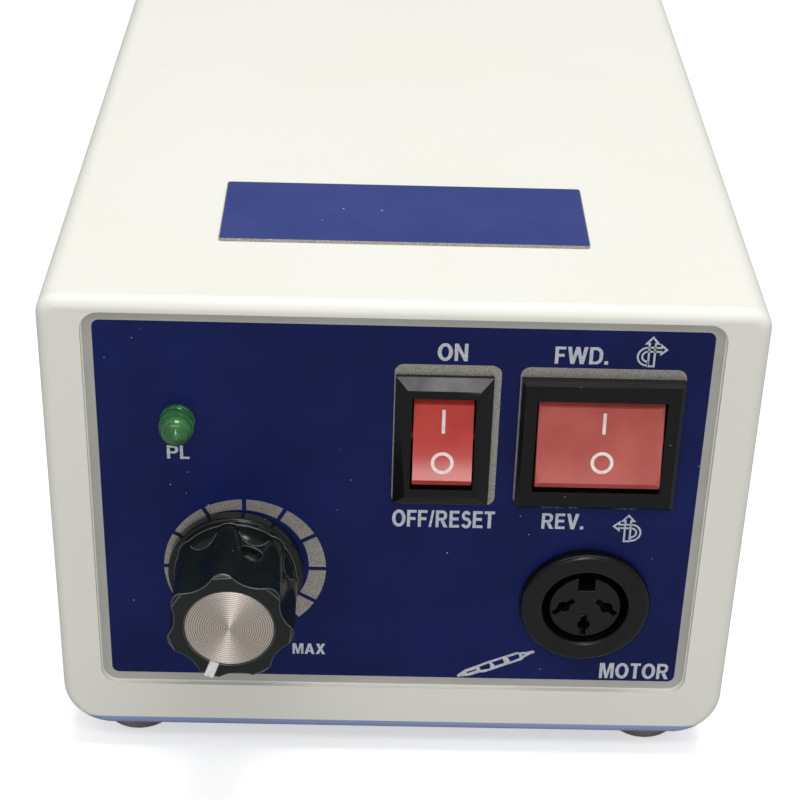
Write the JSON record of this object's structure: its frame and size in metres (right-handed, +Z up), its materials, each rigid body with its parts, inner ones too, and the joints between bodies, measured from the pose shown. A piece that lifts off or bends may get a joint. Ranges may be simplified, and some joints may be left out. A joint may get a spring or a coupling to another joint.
{
  "type": "dental lab micromotor control unit",
  "caption": "Bench control box for a dental laboratory micromotor: rocker switches, fluted speed knob, pilot lamp and round motor socket on a recessed front panel.",
  "frame": {"origin": "centre of the bounding box in x and y, on the table under the rubber feet in z", "axes": "+X to the right seen from the front, +Y from the front panel to the back, +Z up"},
  "size_m": [0.1106, 0.197, 0.0865],
  "materials": {
    "cover_plastic": "fine moulded satin",
    "base_plastic": "moulded satin",
    "foot_rubber": "moulded matt",
    "plated_screw": "zinc plated",
    "panel_print": "screen printed on anodised sheet",
    "plate_print": "screen printed on anodised sheet",
    "lamp_lens": "tinted diffusing resin",
    "tinned_wire": "tinned",
    "switch_black": "moulded semi-gloss",
    "rocker_red": "moulded gloss",
    "rocker_red_matt": "moulded satin",
    "terminal_brass": "stamped",
    "pot_steel": "pressed and plated",
    "knob_black": "moulded gloss",
    "cap_aluminium": "face turned",
    "socket_black": "moulded semi-gloss",
    "core_steel": "varnished laminations",
    "coil_tape": "polyester tape",
    "board_laminate": "solder mask",
    "capacitor_sleeve": "heat-shrunk sleeve",
    "part_black": "moulded epoxy",
    "sink_aluminium": "black anodised",
    "connector_nylon": "moulded",
    "gland_nylon": "moulded",
    "fuse_glass": "clear tube",
    "selector_steel": "pressed and plated"
  },
  "bodies": {
    "case": {"cover": "cover_plastic", "base_tray": "base_plastic", "rubber_feet": "foot_rubber", "case_screws": "plated_screw", "front_panel": "panel_print", "top_plate": "plate_print", "pilot_lamp": "lamp_lens", "lamp_leads": "tinned_wire", "power_switch_housing": "switch_black", "power_switch_terminals": "terminal_brass", "direction_switch_housing": "switch_black", "direction_switch_terminals": "terminal_brass", "speed_pot": "pot_steel", "pot_terminals": "terminal_brass", "pot_washer": "plated_screw", "pot_nut": "plated_screw", "motor_socket_shell": "socket_black", "motor_socket_core": "socket_black", "motor_socket_contacts": "terminal_brass", "motor_socket_nut": "socket_black", "transformer_core": "core_steel", "transformer_coil": "coil_tape", "transformer_strap": "pot_steel", "transformer_screws": "plated_screw", "circuit_board": "board_laminate", "board_screws": "plated_screw", "filter_capacitors": "capacitor_sleeve", "bridge_rectifier": "part_black", "heat_sink": "sink_aluminium", "power_transistor": "part_black", "board_connectors": "connector_nylon", "cord_gland": "gland_nylon", "gland_dome_nut": "gland_nylon", "gland_lock_nut": "gland_nylon", "fuse_holder": "part_black", "fuse_holder_nut": "part_black", "pedal_jack": "part_black", "pedal_jack_nut": "plated_screw", "selector_body": "selector_steel", "selector_screws": "plated_screw"},
    "knob": {"speed_knob": "knob_black", "knob_cap": "cap_aluminium", "knob_set_screw": "plated_screw", "pot_shaft": "pot_steel"},
    "power_lever": {"power_rocker": "rocker_red"},
    "direction_lever": {"direction_rocker": "rocker_red_matt"},
    "fuse_carrier": {"fuse_cap": "part_black", "fuse_link": "fuse_glass"},
    "selector": {"selector_slider": "part_black"}
  },
  "joints": [
    {"name": "knob_turn", "type": "hinge", "parent": "case", "child": "knob", "pos_m": [-0.0259, -0.0825, 0.0376], "axis": [0, 1, 0], "range_deg": [0, 300]},
    {"name": "power_rock", "type": "hinge", "parent": "case", "child": "power_lever", "pos_m": [0.0064, -0.07993, 0.0622], "axis": [1, 0, 0], "range_deg": [0, 22]},
    {"name": "direction_rock", "type": "hinge", "parent": "case", "child": "direction_lever", "pos_m": [0.0306, -0.07993, 0.0622], "axis": [1, 0, 0], "range_deg": [0, 22]},
    {"name": "fuse_cap_turn", "type": "hinge", "parent": "case", "child": "fuse_carrier", "pos_m": [0.036, 0.0825, 0.0565], "axis": [0, 1, 0], "range_deg": [0, 60]},
    {"name": "selector_slide", "type": "slide", "parent": "case", "child": "selector", "axis": [1, 0, 0], "range_m": [0, 0.004]}
  ]
}
